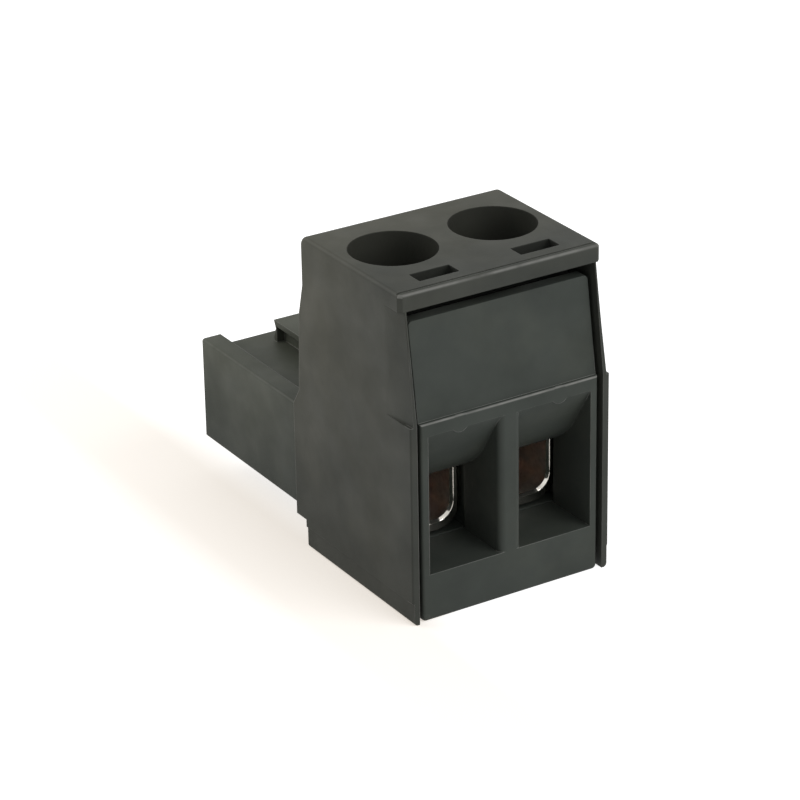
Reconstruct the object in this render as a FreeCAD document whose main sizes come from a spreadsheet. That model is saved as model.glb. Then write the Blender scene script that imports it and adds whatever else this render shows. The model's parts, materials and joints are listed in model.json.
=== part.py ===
import FreeCAD, Part

import operator
import os
from types import SimpleNamespace

import Sketcher

# A two-pole plug-in terminal block, in millimetres. X runs across the poles, the wires enter from -Y, the
# nose at +Y goes over the pins of a board header, and Z is up. The origin is at the middle of the base.
# An outer shell sits over a contact carrier. Each pole has a contact, a clamp sleeve round its current bar,
# and a captive screw that lifts the sleeve, so that the wire is pinched up against the bar.

# Driving sizes. Depths are measured from the front edge of the shell, heights from the base.
SIZES = {
    # the whole plug
    "pole_pitch": 5.08,
    "plug_length": 18.42,
    "plug_height": 15.15,
    # outer shell
    "shell_depth": 8.82,
    "side_wall": 0.34,
    "top_plate": 0.8,
    "rear_wall": 0.8,
    "guide_wall": 0.35,
    "top_setback": 0.71,
    "shell_round": 0.2,
    "front_round": 0.08,
    "rear_round": 0.45,
    "lip_corner": 0.17,
    "groove_setback": 0.22,
    "groove_width": 0.1,
    "groove_depth": 0.06,
    "flank_start_drop": 2.9,
    "flank_shoulder_drop": 3.7,
    "flank_waist": 7.65,
    "flank_hip": 6.85,
    "flank_foot": 1.4,
    "flank_shoulder_reach": 0.2,
    "flank_upper_reach": 0.41,
    "flank_lower_reach": 0.92,
    "foot_reach": 0.1,
    "brow_taper_length": 1.95,
    "brow_inset_top": 0.42,
    "brow_inset_bottom": 0.16,
    "foot_height": 1.05,
    "foot_inset": 0.07,
    "foot_round": 0.18,
    "access_lip": 0.08,
    "slot_width": 1.98,
    "slot_depth": 0.85,
    "slot_round": 0.06,
    # contact carrier
    "carrier_gap": 0.21,
    "face_setback": 0.08,
    "frame_height": 9.35,
    "ledge_depth": 0.2,
    "face_round": 0.14,
    "panel_lean": 0.67,
    "panel_gap": 0.6,
    "panel_thickness": 0.6,
    "panel_round": 0.2,
    "block_drop": 0.2,
    "divider_width": 0.9,
    "post_width": 1.1,
    "post_round": 0.3,
    "base_corner": 0.2,
    "window_frame": 0.38,
    "window_sill": 2.2,
    "window_lintel": 0.62,
    "funnel_knee_back": 1.23,
    "funnel_knee_drop": 0.66,
    "funnel_round": 3.0,
    "nub_radius": 0.42,
    "nub_drop": 0.19,
    "nub_depth": 0.35,
    "floor_height": 2.25,
    "nose_inset": 0.15,
    "nose_bottom": 1.85,
    "nose_round": 0.15,
    "rail_width": 0.96,
    "rail_height": 0.6,
    "rib_half_width": 1.6,
    "rib_stem_half_width": 1.2,
    "rib_height": 1.05,
    "rib_flange": 0.27,
    "rib_end_wall": 0.25,
    "rib_nick": 0.17,
    "rib_nick_drop": 0.38,
    "rib_end_gap": 0.97,
    "cavity_width": 2.9,
    "cavity_margin": 0.2,
    "tip_wall": 0.8,
    "pin_opening_width": 1.5,
    "pin_opening_height": 1.9,
    "pin_lead_in": 0.3,
    # clamp sleeve
    "sleeve_length": 4.04,
    "sleeve_sheet": 0.5,
    "sleeve_collar": 1.4,
    "sleeve_round": 0.75,
    "collar_round": 0.5,
    "sleeve_edge": 0.12,
    "wire_space": 2.5,
    "wire_left": 0.5,
    # clamp screw
    "screw_radius": 1.44,
    "screw_point": 0.3,
    "head_wall": 0.49,
    "head_height": 1.8,
    "head_round": 0.25,
    "blade_width": 0.65,
    "blade_depth": 1.0,
    # contact
    "bar_thickness": 0.7,
    "web_thickness": 0.6,
    "web_reach": 0.1,
    "bend_round": 0.35,
    "arm_thickness": 0.4,
    "arm_height": 2.2,
    "arm_straight": 3.0,
    "arm_grip": 0.42,
    "arm_mouth": 0.85,
    "arm_mouth_length": 1.5,
    "arm_end_gap": 0.5,
    # running and moulding clearances
    "running_gap": 0.1,
    "thread_gap": 0.06,
    "tip_gap": 0.05,
    "bar_gap": 0.25,
    "bar_side_gap": 0.2,
    "head_gap": 0.12,
    "sleeve_side_gap": 0.09,
    "sleeve_rear_gap": 0.75,
    "funnel_gap": 0.3,
}

SIGNS = {"+": operator.add, "-": operator.sub, "*": operator.mul, "/": operator.truediv}
OVER = 1.0  # how far a cutting outline stands out past the solid
NEAR = 1e-4  # two places closer than this are the same


class Size:
    """A length together with the spreadsheet formula that gives it."""

    def __init__(self, value, formula):
        self.value = value
        self.formula = formula

    def __add__(self, other):
        return joined(self, "+", other)

    def __radd__(self, other):
        return joined(other, "+", self)

    def __sub__(self, other):
        return joined(self, "-", other)

    def __rsub__(self, other):
        return joined(other, "-", self)

    def __mul__(self, other):
        return joined(self, "*", other)

    def __rmul__(self, other):
        return joined(other, "*", self)

    def __truediv__(self, other):
        return joined(self, "/", other)

    def __neg__(self):
        return joined(0, "-", self)


def as_size(number):
    """A plain number or a Size, as a Size."""
    return number if isinstance(number, Size) else Size(number, str(number))


def joined(first, sign, second):
    """The Size that a sum, difference, product or quotient gives."""
    first = as_size(first)
    second = as_size(second)
    value = SIGNS[sign](first.value, second.value)
    return Size(value, f"({first.formula} {sign} {second.formula})")


def write_sheet(doc):
    """The spreadsheet of driving sizes, and each of them by name as a Size."""
    sheet = doc.addObject("Spreadsheet::Sheet", "Sizes")
    for row, (name, value) in enumerate(SIZES.items(), start=1):
        sheet.set(f"A{row}", name.replace("_", " "))
        sheet.set(f"B{row}", str(value))
        sheet.setAlias(f"B{row}", name)
    doc.recompute()
    return SimpleNamespace(**{name: Size(value, f"Sizes.{name}") for name, value in SIZES.items()})


def work_out(s):
    """The places that more than one piece is built from, added to the driving sizes."""
    s.half_width = s.pole_pitch
    s.inner_half = s.half_width - s.side_wall
    s.carrier_half = s.inner_half - s.carrier_gap
    s.plate_bottom = s.plug_height - s.top_plate
    s.rear_face = s.shell_depth - s.rear_wall
    s.nose_start = s.shell_depth + s.flank_lower_reach + s.running_gap
    # across and along the plug, the sleeve fills its chamber, and the bar and the head follow it
    s.sleeve_width = s.pole_pitch - s.divider_width - s.sleeve_side_gap * 2
    s.bar_width = s.sleeve_width - s.sleeve_sheet * 2 - s.bar_side_gap * 2
    s.head_radius = s.pole_pitch / 2 - s.head_wall
    s.guide_radius = s.head_radius + s.head_gap
    s.access_radius = s.head_radius - s.access_lip
    s.screw_line = s.rear_face - s.sleeve_rear_gap - s.sleeve_length / 2
    s.guide_front = s.screw_line - s.guide_radius - s.guide_wall
    s.slot_line = (s.top_setback + s.screw_line - s.access_radius) / 2
    s.funnel_end = s.screw_line - s.sleeve_length / 2 - s.funnel_gap
    # the heights are stacked up from the floor
    s.sleeve_bottom = s.floor_height + s.running_gap
    s.bar_bottom = s.sleeve_bottom + s.sleeve_sheet + s.wire_space
    s.bar_top = s.bar_bottom + s.bar_thickness
    s.deck_height = s.bar_top + s.running_gap
    s.collar_bottom = s.bar_top + s.bar_gap
    s.sleeve_top = s.collar_bottom + s.sleeve_collar
    s.sleeve_lift = s.wire_space - s.wire_left
    s.guide_bottom = s.sleeve_top + s.sleeve_lift + s.bar_gap
    s.head_bottom = s.guide_bottom + s.running_gap
    s.head_top = s.head_bottom + s.head_height
    s.head_ceiling = s.head_top + s.running_gap * 2
    s.web_front = s.screw_line + s.sleeve_length / 2 + s.web_reach
    s.web_rear = s.web_front + s.web_thickness
    s.arm_bottom = s.bar_bottom - s.arm_height + s.running_gap
    s.pin_height = s.arm_bottom + s.arm_height / 2
    s.cavity_end = s.plug_length - s.tip_wall
    return s


def new_body(doc, name, s, pole=0):
    """An empty body for one piece, set on the plug's own frame: pole is -1, 0 or 1."""
    body = doc.addObject("PartDesign::Body", name)
    body.Label = name
    body.setExpression(".Placement.Base.x", (s.pole_pitch / 2 * pole).formula)
    body.setExpression(".Placement.Base.y", (-s.plug_length / 2).formula)
    return body


def new_sketch(body, name, plane, offset=0):
    """A sketch on one of the body's own planes, moved along the plane's normal by offset."""
    sketch = body.newObject("Sketcher::SketchObject", name)
    support = next(feature for feature in body.Origin.OriginFeatures if feature.Role == plane)
    sketch.AttachmentSupport = [(support, "")]
    sketch.MapMode = "FlatFace"
    sketch.setExpression(".AttachmentOffset.Base.z", as_size(offset).formula)
    return sketch


def fix_point(sketch, geometry, vertex, place):
    """Ties one point of the sketch to two sizes."""
    for kind, number in zip(("DistanceX", "DistanceY"), place):
        size = as_size(number)
        row = sketch.addConstraint(Sketcher.Constraint(kind, -1, 1, geometry, vertex, size.value))
        sketch.setExpression(f"Constraints[{row}]", size.formula)


def outline(sketch, corners):
    """A closed outline of straight lines through the corners."""
    places = [FreeCAD.Vector(as_size(x).value, as_size(y).value, 0) for x, y in corners]
    first = sketch.GeometryCount
    count = len(corners)
    for here, there in zip(places, places[1:] + places[:1]):
        sketch.addGeometry(Part.LineSegment(here, there), False)
    for index in range(count):
        following = first + (index + 1) % count
        sketch.addConstraint(Sketcher.Constraint("Coincident", first + index, 2, following, 1))
    for index, corner in enumerate(corners):
        fix_point(sketch, first + index, 1, corner)


def rectangle(sketch, left, right, bottom, top):
    """A closed rectangle between two pairs of sizes."""
    outline(sketch, [(left, bottom), (right, bottom), (right, top), (left, top)])


def circle(sketch, x, y, radius):
    """A circle at a place, of a radius."""
    centre = FreeCAD.Vector(as_size(x).value, as_size(y).value, 0)
    index = sketch.addGeometry(Part.Circle(centre, FreeCAD.Vector(0, 0, 1), radius.value), False)
    fix_point(sketch, index, 3, (x, y))
    row = sketch.addConstraint(Sketcher.Constraint("Radius", index, radius.value))
    sketch.setExpression(f"Constraints[{row}]", radius.formula)


def extruded(body, kind, sketch, name, length, both=False, turned=False):
    """A Pad or Pocket of the sketch, which has to change the body's volume."""
    before = body.Shape.Volume if body.Tip else 0
    feature = body.newObject(f"PartDesign::{kind}", name)
    feature.Profile = sketch
    feature.setExpression("Length", as_size(length).formula)
    feature.Midplane = both
    feature.Reversed = turned
    body.Document.recompute()
    gained = feature.Shape.Volume - before
    if gained * (1 if kind == "Pad" else -1) <= 0:
        raise RuntimeError(f"{body.Label}: {name} changes nothing")
    return feature


def pad(body, sketch, name, length, both=False, turned=False):
    return extruded(body, "Pad", sketch, name, length, both, turned)


def pocket(body, sketch, name, length, both=False, turned=False):
    return extruded(body, "Pocket", sketch, name, length, both, turned)


def cut_between(body, low, high, name):
    """Cuts the straight-sided solid between two sketches out of the body."""
    before = body.Shape.Volume
    loft = body.newObject("PartDesign::SubtractiveLoft", name)
    loft.Profile = low
    loft.Sections = [high]
    loft.Ruled = True
    body.Document.recompute()
    if loft.Shape.Volume >= before:
        raise RuntimeError(f"{body.Label}: {name} changes nothing")


def matches(place, wanted):
    """Whether a coordinate is at a size, within a pair of sizes, or free."""
    if wanted is None:
        return True
    if isinstance(wanted, tuple):
        low, high = (as_size(number).value for number in wanted)
        return low - NEAR <= place <= high + NEAR
    return abs(place - as_size(wanted).value) < NEAR


def edges_at(feature, x=None, y=None, z=None, along=None):
    """Names of the edges whose two ends are at the wanted places, and that run along an axis."""
    names = []
    for number, edge in enumerate(feature.Shape.Edges, start=1):
        ends = [vertex.Point for vertex in edge.Vertexes]
        if len(ends) < 2 or not all(matches(e.x, x) and matches(e.y, y) and matches(e.z, z) for e in ends):
            continue
        span = (ends[1] - ends[0]).normalize()
        if along and abs(abs(getattr(span, along)) - 1) > NEAR:
            continue
        names.append(f"Edge{number}")
    return names


def eased(body, kind, name, amount, edges):
    """A Fillet or Chamfer on the named edges of the body's last feature."""
    base = body.Tip
    if not edges:
        raise RuntimeError(f"{body.Label}: {name} finds no edge")
    feature = body.newObject(f"PartDesign::{kind}", name)
    feature.Base = (base, edges)
    feature.setExpression("Radius" if kind == "Fillet" else "Size", as_size(amount).formula)
    body.Document.recompute()
    return feature


def fillet(body, name, radius, edges):
    return eased(body, "Fillet", name, radius, edges)


def chamfer(body, name, size, edges):
    return eased(body, "Chamfer", name, size, edges)


def outer_shell(doc, s):
    """Top plate, side walls with stepped flanks, rear wall and the block that guides the screws."""
    body = new_body(doc, "outer_shell", s)
    flank_upper = s.shell_depth + s.flank_upper_reach
    flank_lower = s.shell_depth + s.flank_lower_reach
    foot_rear = s.shell_depth + s.foot_reach

    side = new_sketch(body, "side_outline", "YZ_Plane")
    outline(side, [
        (0, 0),
        (foot_rear, 0),
        (foot_rear, s.flank_foot),
        (flank_lower, s.flank_foot),
        (flank_lower, s.flank_hip),
        (flank_upper, s.flank_waist),
        (s.shell_depth + s.flank_shoulder_reach, s.plug_height - s.flank_shoulder_drop),
        (s.shell_depth, s.plug_height - s.flank_start_drop),
        (s.shell_depth, s.plug_height),
        (s.top_setback, s.plug_height),
        (s.top_setback, s.plate_bottom),
        (0, s.frame_height),
    ])
    pad(body, side, "shell_block", s.half_width * 2, both=True)

    hollow = new_sketch(body, "hollow_outline", "YZ_Plane")
    outline(hollow, [
        (-OVER, -OVER),
        (flank_lower + OVER, -OVER),
        (flank_lower + OVER, s.plug_height + OVER),
        (s.shell_depth, s.plug_height + OVER),
        (s.shell_depth, s.deck_height),
        (s.rear_face, s.deck_height),
        (s.rear_face, s.guide_bottom),
        (s.guide_front, s.guide_bottom),
        (s.guide_front, s.plate_bottom),
        (-OVER, s.plate_bottom),
    ])
    pocket(body, hollow, "hollow", s.inner_half * 2, both=True)

    # above the frame the side walls lean in towards the front, most of all under the top plate
    for side, name in ((-1, "left"), (1, "right")):
        low = new_sketch(body, f"brow_foot_{name}", "XY_Plane", s.frame_height)
        outline(low, wedge(s, side, s.brow_inset_bottom, 0, s.brow_taper_length))
        high = new_sketch(body, f"brow_top_{name}", "XY_Plane", s.plate_bottom)
        outline(high, wedge(s, side, s.brow_inset_top, 0, s.brow_taper_length))
        cut_between(body, low, high, f"brow_taper_{name}")

    lip_back = s.top_setback + s.lip_corner
    lip = new_sketch(body, "lip_corner_outlines", "XY_Plane", s.plug_height)
    for side in (-1, 1):
        outline(lip, wedge(s, side, s.lip_corner, s.top_setback, lip_back))
    pocket(body, lip, "lip_corners", s.top_plate)
    fillet(body, "rounded_rear", s.rear_round,
           edges_at(body.Tip, y=s.shell_depth, z=s.plug_height, along="x"))
    fillet(body, "rounded_top", s.shell_round,
           edges_at(body.Tip, z=s.plug_height, along="y") +
           edges_at(body.Tip, y=(s.top_setback, lip_back), z=s.plug_height))

    # a fine groove behind the front top edge
    groove = new_sketch(body, "groove_outline", "XY_Plane", s.plug_height)
    groove_front = s.top_setback + s.groove_setback
    rectangle(groove, -s.half_width - OVER, s.half_width + OVER, groove_front, groove_front + s.groove_width)
    pocket(body, groove, "front_groove", s.groove_depth)

    # the screwdriver comes down the narrow holes, and the wider bores below them hold the screw heads
    access = new_sketch(body, "access_holes", "XY_Plane", s.plug_height)
    guides = new_sketch(body, "head_guides", "XY_Plane", s.head_ceiling)
    slots = new_sketch(body, "test_slots", "XY_Plane", s.plug_height)
    for pole in (-1, 1):
        middle = s.pole_pitch / 2 * pole
        circle(access, middle, s.screw_line, s.access_radius)
        circle(guides, middle, s.screw_line, s.guide_radius)
        rectangle(slots, middle - s.slot_width / 2, middle + s.slot_width / 2,
                  s.slot_line - s.slot_depth / 2, s.slot_line + s.slot_depth / 2)
    pocket(body, access, "access_hole", s.plug_height - s.guide_bottom)
    pocket(body, guides, "head_guide", s.head_ceiling - s.guide_bottom)
    pocket(body, slots, "test_slot", s.top_plate)
    slot_ends = (s.slot_line - s.slot_depth / 2, s.slot_line + s.slot_depth / 2)
    fillet(body, "rounded_slots", s.slot_round,
           edges_at(body.Tip, y=slot_ends, z=(s.plate_bottom, s.plug_height), along="z"))

    foot = new_sketch(body, "foot_steps", "XZ_Plane")
    for side in (-1, 1):
        rectangle(foot, (s.half_width - s.foot_inset) * side, (s.half_width + OVER) * side, -OVER, s.foot_height)
    pocket(body, foot, "foot_step", flank_lower)
    foot_half = s.half_width - s.foot_inset
    fillet(body, "rounded_foot", s.foot_round,
           edges_at(body.Tip, x=-foot_half, z=0, along="y") + edges_at(body.Tip, x=foot_half, z=0, along="y") +
           edges_at(body.Tip, y=foot_rear, z=0, along="x"))
    fillet(body, "rounded_front", s.front_round,
           [name for x in (-s.half_width, -s.inner_half, s.inner_half, s.half_width)
            for name in edges_at(body.Tip, x=x, y=0, z=(s.foot_height, s.frame_height), along="z")])
    return body


def wedge(s, side, inset, front, back):
    """Corners of a wedge beside an outer face: nothing deep at the back, the inset deep at the front."""
    face = s.half_width * side
    inner = (s.half_width - inset) * side
    outer = (s.half_width + OVER) * side
    return [(face, back), (inner, front), (inner, -OVER), (outer, -OVER), (outer, back)]


def contact_carrier(doc, s):
    """Front frame with two wire funnels, sloped panel, floor, divider and the plug nose."""
    body = new_body(doc, "contact_carrier", s)
    ledge_back = s.face_setback + s.ledge_depth
    panel_top = s.plate_bottom - s.panel_gap
    panel_front = ledge_back + s.panel_lean
    body_depth = s.shell_depth - s.running_gap

    side = new_sketch(body, "side_outline", "YZ_Plane")
    outline(side, [
        (s.face_setback, 0),
        (body_depth, 0),
        (body_depth, s.nose_bottom),
        (s.nose_start, s.nose_bottom),
        (s.nose_start, s.deck_height),
        (s.web_rear, s.deck_height),
        (s.web_rear, s.floor_height),
        (s.funnel_end, s.floor_height),
        (s.funnel_end, s.frame_height - s.block_drop),
        (ledge_back + s.panel_thickness, s.frame_height - s.block_drop),
        (panel_front + s.panel_thickness, panel_top),
        (panel_front, panel_top),
        (ledge_back, s.frame_height),
        (s.face_setback, s.frame_height),
    ])
    pad(body, side, "carrier_block", s.carrier_half * 2, both=True)
    fillet(body, "rounded_panel", s.panel_round,
           [name for x in (-s.carrier_half, s.carrier_half) for name in edges_at(body.Tip, x=x, z=panel_top)])
    fillet(body, "rounded_base", s.base_corner,
           [name for x in (-s.carrier_half, s.carrier_half) for name in edges_at(body.Tip, x=x, z=0, along="y")])
    fillet(body, "rounded_face", s.face_round, edges_at(body.Tip, y=s.face_setback))

    wall = new_sketch(body, "divider_outline", "YZ_Plane")
    wall_top = s.guide_bottom - s.running_gap
    wall_rear = s.rear_face - s.running_gap
    outline(wall, [
        (s.funnel_end - s.running_gap, s.nose_bottom),
        (s.web_rear + s.running_gap, s.nose_bottom),
        (s.web_rear + s.running_gap, s.deck_height),
        (wall_rear, s.deck_height),
        (wall_rear, wall_top),
        (s.funnel_end - s.running_gap, wall_top),
    ])
    pad(body, wall, "divider", s.divider_width, both=True)

    add_funnels(body, s)
    add_nose(body, s)
    return body


def add_funnels(body, s):
    """The two wire entries, each with a level floor, straight sides and a rounded, falling ceiling."""
    lintel = s.frame_height - s.window_lintel
    knee_depth = s.funnel_end - s.funnel_knee_back
    slope = (lintel - s.bar_bottom) / (s.funnel_end - s.face_setback)
    knee_height = s.bar_bottom + slope * s.funnel_knee_back - s.funnel_knee_drop
    inner = s.post_width / 2
    outer = s.carrier_half - s.window_frame
    for side, name in ((-1, "left"), (1, "right")):
        start = inner if side > 0 else -outer
        funnel = new_sketch(body, f"funnel_{name}_outline", "YZ_Plane", start)
        outline(funnel, [
            (-OVER, s.window_sill),
            (s.funnel_end + s.running_gap, s.window_sill),
            (s.funnel_end + s.running_gap, s.bar_bottom),
            (s.funnel_end, s.bar_bottom),
            (knee_depth, knee_height),
            (s.face_setback, lintel),
            (-OVER, lintel),
        ])
        pocket(body, funnel, f"funnel_{name}", outer - inner, turned=True)
    fillet(body, "rounded_ceilings", s.funnel_round,
           edges_at(body.Tip, y=knee_depth, z=knee_height, along="x"))
    fillet(body, "rounded_post", s.post_round,
           [name for x in (-inner, inner)
            for name in edges_at(body.Tip, x=x, y=s.face_setback, along="z")])

    # a small half-round nub hangs under the middle of each lintel
    nubs = new_sketch(body, "nub_outlines", "XZ_Plane", -s.face_setback)
    for pole in (-1, 1):
        circle(nubs, s.pole_pitch / 2 * pole, lintel + s.nub_radius - s.nub_drop, s.nub_radius)
    pad(body, nubs, "lintel_nub", s.nub_depth, turned=True)


def add_nose(body, s):
    """The plug nose: two rails, a flanged rib between them, and a cavity with a pin opening for each pole."""
    rail_top = s.deck_height + s.rail_height
    root_start = s.shell_depth + s.running_gap
    nose_half = s.half_width - s.nose_inset
    rail_inner = nose_half - s.rail_width
    root = new_sketch(body, "rail_root_outlines", "XZ_Plane", -root_start)
    for side in (-1, 1):
        rectangle(root, rail_inner * side, s.carrier_half * side, s.nose_bottom, rail_top)
    pad(body, root, "rail_root", s.nose_start - root_start, turned=True)

    nose = new_sketch(body, "nose_outline", "XZ_Plane", -s.nose_start)
    outline(nose, [
        (-nose_half, s.nose_bottom),
        (nose_half, s.nose_bottom),
        (nose_half, rail_top),
        (rail_inner, rail_top),
        (rail_inner, s.deck_height),
        (-rail_inner, s.deck_height),
        (-rail_inner, rail_top),
        (-nose_half, rail_top),
    ])
    pad(body, nose, "nose", s.plug_length - s.nose_start, turned=True)
    fillet(body, "rounded_tip", s.nose_round,
           [name for x in (-nose_half, nose_half)
            for name in edges_at(body.Tip, x=x, y=s.plug_length, along="z") +
            edges_at(body.Tip, x=x, z=rail_top, along="y")] +
           edges_at(body.Tip, y=s.plug_length, z=s.nose_bottom, along="x") +
           edges_at(body.Tip, y=s.plug_length, z=rail_top, along="x"))

    # the rib is grooved along both sides under its flange, up to an end wall with a nick across it
    rib_end = s.plug_length - s.rib_end_gap
    rib_top = s.deck_height + s.rib_height
    rib = new_sketch(body, "rib_outline", "XZ_Plane", -root_start)
    rectangle(rib, -s.rib_half_width, s.rib_half_width, s.pin_height, rib_top)
    pad(body, rib, "rib", rib_end - root_start, turned=True)
    grooves = new_sketch(body, "rib_groove_outlines", "XZ_Plane", -root_start)
    for side in (-1, 1):
        rectangle(grooves, s.rib_stem_half_width * side, (s.rib_half_width + s.running_gap) * side,
                  s.deck_height, rib_top - s.rib_flange)
    pocket(body, grooves, "rib_grooves", rib_end - s.rib_end_wall - root_start)
    nick = new_sketch(body, "nick_outline", "YZ_Plane")
    outline(nick, [
        (rib_end, rib_top - s.rib_nick_drop * 2),
        (rib_end + s.rib_nick, rib_top - s.rib_nick_drop * 2),
        (rib_end + s.rib_nick, rib_top),
        (rib_end, rib_top),
        (rib_end - s.rib_nick, rib_top - s.rib_nick_drop),
    ])
    pocket(body, nick, "rib_nick", s.rib_half_width * 2, both=True)

    cavities = new_sketch(body, "cavity_outlines", "XZ_Plane", -s.web_rear)
    openings = new_sketch(body, "pin_opening_outlines", "XZ_Plane", -s.plug_length)
    for pole in (-1, 1):
        middle = s.pole_pitch / 2 * pole
        rectangle(cavities, middle - s.cavity_width / 2, middle + s.cavity_width / 2,
                  s.arm_bottom - s.cavity_margin, s.arm_bottom + s.arm_height + s.cavity_margin)
        rectangle(openings, middle - s.pin_opening_width / 2, middle + s.pin_opening_width / 2,
                  s.pin_height - s.pin_opening_height / 2, s.pin_height + s.pin_opening_height / 2)
    pocket(body, cavities, "contact_cavity", s.cavity_end - s.web_rear)
    pocket(body, openings, "pin_opening", s.tip_wall, turned=True)
    chamfer(body, "pin_lead_in", s.pin_lead_in,
            edges_at(body.Tip, y=s.plug_length,
                     z=(s.pin_height - s.pin_opening_height / 2, s.pin_height + s.pin_opening_height / 2),
                     x=(-rail_inner, rail_inner)))


def clamp_sleeve(doc, s, name, pole):
    """A box bent from sheet, with a thick threaded collar on top, shown lowered for a wire to go in."""
    body = new_body(doc, name, s, pole)
    half = s.sleeve_width / 2
    inner = half - s.sleeve_sheet
    section = new_sketch(body, "sleeve_section", "XZ_Plane", -s.screw_line)
    rectangle(section, -half, half, s.sleeve_bottom, s.sleeve_top)
    rectangle(section, -inner, inner, s.sleeve_bottom + s.sleeve_sheet, s.collar_bottom)
    pad(body, section, "sleeve_box", s.sleeve_length, both=True)
    inner_bottom = s.sleeve_bottom + s.sleeve_sheet
    fillet(body, "outer_bends", s.sleeve_round + s.sleeve_sheet,
           edges_at(body.Tip, x=(-half, half), z=s.sleeve_bottom, along="y"))
    fillet(body, "inner_bends", s.sleeve_round,
           edges_at(body.Tip, x=(-inner, inner), z=inner_bottom, along="y"))
    fillet(body, "collar_bends", s.collar_round,
           edges_at(body.Tip, x=(-half, half), z=s.sleeve_top, along="y"))
    front = s.screw_line - s.sleeve_length / 2
    chamfer(body, "broken_edge", s.sleeve_edge,
            edges_at(body.Tip, x=(-inner, inner), y=front, z=(inner_bottom, s.collar_bottom)))
    bore = new_sketch(body, "thread_outline", "XY_Plane", s.sleeve_top)
    circle(bore, 0, s.screw_line, s.screw_radius + s.thread_gap)
    pocket(body, bore, "threaded_bore", s.sleeve_collar)
    return body


def clamp_screw(doc, s, name, pole):
    """A slotted screw, turned about its own axis, whose tip bears on the current bar."""
    body = new_body(doc, name, s, pole)
    tip = s.bar_top + s.tip_gap
    half = new_sketch(body, "half_section", "XZ_Plane", -s.screw_line)
    outline(half, [
        (0, tip),
        (s.screw_radius - s.screw_point, tip),
        (s.screw_radius, tip + s.screw_point),
        (s.screw_radius, s.head_bottom),
        (s.head_radius, s.head_bottom),
        (s.head_radius, s.head_top - s.head_round),
        (s.head_radius - s.head_round, s.head_top),
        (0, s.head_top),
    ])
    turned = body.newObject("PartDesign::Revolution", "turned_screw")
    turned.Profile = half
    turned.ReferenceAxis = (half, ["V_Axis"])
    turned.Angle = 360
    doc.recompute()
    blade = new_sketch(body, "blade_outline", "XY_Plane", s.head_top)
    rectangle(blade, -s.blade_width / 2, s.blade_width / 2,
              s.screw_line - s.head_radius - OVER, s.screw_line + s.head_radius + OVER)
    pocket(body, blade, "blade_slot", s.blade_depth)
    return body


def contact(doc, s, name, pole):
    """Current bar through the sleeve, a web that stops the wire, and two spring arms that grip a pin."""
    body = new_body(doc, name, s, pole)
    bar_front = s.screw_line - s.sleeve_length / 2 + s.web_reach
    side = new_sketch(body, "side_outline", "YZ_Plane")
    outline(side, [
        (bar_front, s.bar_bottom),
        (s.web_front, s.bar_bottom),
        (s.web_front, s.arm_bottom),
        (s.web_rear, s.arm_bottom),
        (s.web_rear, s.bar_top),
        (bar_front, s.bar_top),
    ])
    pad(body, side, "bar_and_web", s.bar_width, both=True)
    fillet(body, "inner_bend", s.bend_round, edges_at(body.Tip, y=s.web_front, z=s.bar_bottom))

    start = s.web_rear
    bend = start + s.arm_straight
    arm_end = s.cavity_end - s.arm_end_gap
    grip = arm_end - s.arm_mouth_length
    outside = s.bar_width / 2
    arms = new_sketch(body, "arm_outlines", "XY_Plane", s.arm_bottom)
    for side in (-1, 1):
        outline(arms, [
            ((outside - s.arm_thickness) * side, start),
            ((outside - s.arm_thickness) * side, bend),
            (s.arm_grip * side, grip),
            ((s.arm_mouth - s.arm_thickness / 2) * side, arm_end),
            ((s.arm_mouth + s.arm_thickness / 2) * side, arm_end),
            ((s.arm_grip + s.arm_thickness) * side, grip),
            (outside * side, bend),
            (outside * side, start),
        ])
    pad(body, arms, "spring_arms", s.arm_height)
    fillet(body, "arm_bends", s.arm_straight / 2,
           edges_at(body.Tip, y=bend, along="z") + edges_at(body.Tip, y=grip, along="z"))
    return body


def check(doc, pieces):
    """Stops if any object of the document failed, or a piece has no sound solid."""
    for thing in doc.Objects:
        if "Invalid" in thing.State or "Error" in thing.State:
            raise RuntimeError(f"{thing.Label} failed: {thing.State}")
    for piece in pieces:
        if piece.Shape.isNull() or not piece.Shape.isValid() or len(piece.Shape.Solids) != 1:
            raise RuntimeError(f"{piece.Label} isn't one sound solid")


def main():
    doc = FreeCAD.newDocument("plug_in_terminal_block")
    s = work_out(write_sheet(doc))
    pieces = [outer_shell(doc, s), contact_carrier(doc, s)]
    for pole, name in ((-1, "left"), (1, "right")):
        pieces.append(clamp_sleeve(doc, s, f"clamp_sleeve_{name}", pole))
        pieces.append(clamp_screw(doc, s, f"clamp_screw_{name}", pole))
        pieces.append(contact(doc, s, f"contact_{name}", pole))
    doc.recompute()
    check(doc, pieces)
    os.makedirs("parts", exist_ok=True)
    for piece in pieces:
        piece.Shape.exportStep(f"parts/{piece.Label}.step")
        box = piece.Shape.BoundBox
        print(f"{piece.Label}: {piece.Shape.Volume:.2f} mm3, x {box.XMin:.2f} {box.XMax:.2f}, "
              f"y {box.YMin:.2f} {box.YMax:.2f}, z {box.ZMin:.2f} {box.ZMax:.2f}")


main()
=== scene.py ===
import json
import math

import bmesh
import bpy
from bpy.props import FloatProperty, FloatVectorProperty, PointerProperty
from mathutils import Matrix, Vector

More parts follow.
